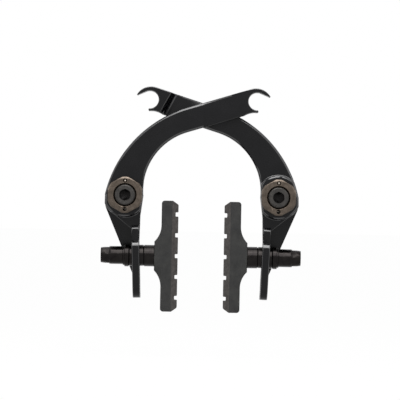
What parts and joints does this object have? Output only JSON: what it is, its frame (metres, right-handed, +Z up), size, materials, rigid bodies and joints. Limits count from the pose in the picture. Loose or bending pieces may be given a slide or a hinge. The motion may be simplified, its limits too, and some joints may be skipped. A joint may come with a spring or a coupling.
{
  "type": "u brake",
  "caption": "Bicycle rim brake with two crossed, curved arms on two pivot posts, cable hooks at the top, pads on ball-seat washers and spring tension nuts; no cable.",
  "frame": {"origin": "on the frame face that the two pivot posts stand on, midway between the posts' axes", "axes": "+Z up, -Y to the front (the side with the bolt heads and cable hooks), +X across the brake to the right as seen from the front"},
  "size_m": [0.0992, 0.0213, 0.1114],
  "materials": {
    "arm_anodised": "black anodised, satin gloss",
    "bushing": "turned bronze",
    "tension_nut": "brown-black steel, satin",
    "spring_wire": "bright spring wire",
    "bolt_black": "black oxide steel",
    "pad_rubber": "dark grey moulded rubber, matt",
    "stud_steel": "zinc-plated steel",
    "washer_black": "black oxide steel, satin",
    "sleeve_nut": "black oxide steel, satin"
  },
  "bodies": {
    "frame_side": {"left_pivot_bolt": "bolt_black", "right_pivot_bolt": "bolt_black"},
    "left_tension": {"left_tension_nut": "tension_nut", "left_spring": "spring_wire"},
    "left_brake_arm": {"left_arm": "arm_anodised", "left_pivot_bushing": "bushing"},
    "left_slider": {"left_inner_convex_washer": "washer_black", "left_outer_convex_washer": "washer_black"},
    "left_cups": {"left_pad_collar": "washer_black", "left_outer_concave_washer": "washer_black"},
    "left_pad": {"left_pad_rubber": "pad_rubber", "left_pad_stud": "stud_steel", "left_flat_washer": "washer_black", "left_sleeve_nut": "sleeve_nut"},
    "right_tension": {"right_tension_nut": "tension_nut", "right_spring": "spring_wire"},
    "right_brake_arm": {"right_arm": "arm_anodised", "right_pivot_bushing": "bushing"},
    "right_slider": {"right_inner_convex_washer": "washer_black", "right_outer_convex_washer": "washer_black"},
    "right_cups": {"right_pad_collar": "washer_black", "right_outer_concave_washer": "washer_black"},
    "right_pad": {"right_pad_rubber": "pad_rubber", "right_pad_stud": "stud_steel", "right_flat_washer": "washer_black", "right_sleeve_nut": "sleeve_nut"}
  },
  "joints": [
    {"name": "left_arm_pivot", "type": "hinge", "parent": "frame_side", "child": "left_brake_arm", "pos_m": [-0.038, 0, 0], "axis": [0, 1, 0], "range_deg": [-4, 10], "stiffness_Nm_per_rad": 1.5, "deforming": ["left_spring"]},
    {"name": "left_tension_turn", "type": "hinge", "parent": "frame_side", "child": "left_tension", "pos_m": [-0.038, 0, 0], "axis": [0, 1, 0], "range_deg": [-30, 90], "deforming": ["left_spring"]},
    {"name": "left_pad_height", "type": "slide", "parent": "left_brake_arm", "child": "left_slider", "axis": [0.0366, 0, -0.9993], "range_m": [0, 0.0125]},
    {"name": "left_pad_toe", "type": "hinge", "parent": "left_slider", "child": "left_cups", "pos_m": [-0.03225, -0.0098, -0.03], "axis": [0, 0, 1], "range_deg": [-3, 3]},
    {"name": "left_pad_twist", "type": "hinge", "parent": "left_cups", "child": "left_pad", "pos_m": [-0.03225, -0.0098, -0.03], "axis": [1, 0, 0], "continuous": true},
    {"name": "right_arm_pivot", "type": "hinge", "parent": "frame_side", "child": "right_brake_arm", "pos_m": [0.038, 0, 0], "axis": [0, -1, 0], "range_deg": [-4, 10], "stiffness_Nm_per_rad": 1.5, "deforming": ["right_spring"]},
    {"name": "right_tension_turn", "type": "hinge", "parent": "frame_side", "child": "right_tension", "pos_m": [0.038, 0, 0], "axis": [0, -1, 0], "range_deg": [-30, 90], "deforming": ["right_spring"]},
    {"name": "right_pad_height", "type": "slide", "parent": "right_brake_arm", "child": "right_slider", "axis": [-0.0366, 0, -0.9993], "range_m": [0, 0.0125]},
    {"name": "right_pad_toe", "type": "hinge", "parent": "right_slider", "child": "right_cups", "pos_m": [0.03225, -0.0098, -0.03], "axis": [0, 0, 1], "range_deg": [-3, 3]},
    {"name": "right_pad_twist", "type": "hinge", "parent": "right_cups", "child": "right_pad", "pos_m": [0.03225, -0.0098, -0.03], "axis": [1, 0, 0], "continuous": true}
  ],
  "couplings": [
    {"joint": "right_arm_pivot", "follows": "left_arm_pivot", "ratio": 1}
  ]
}
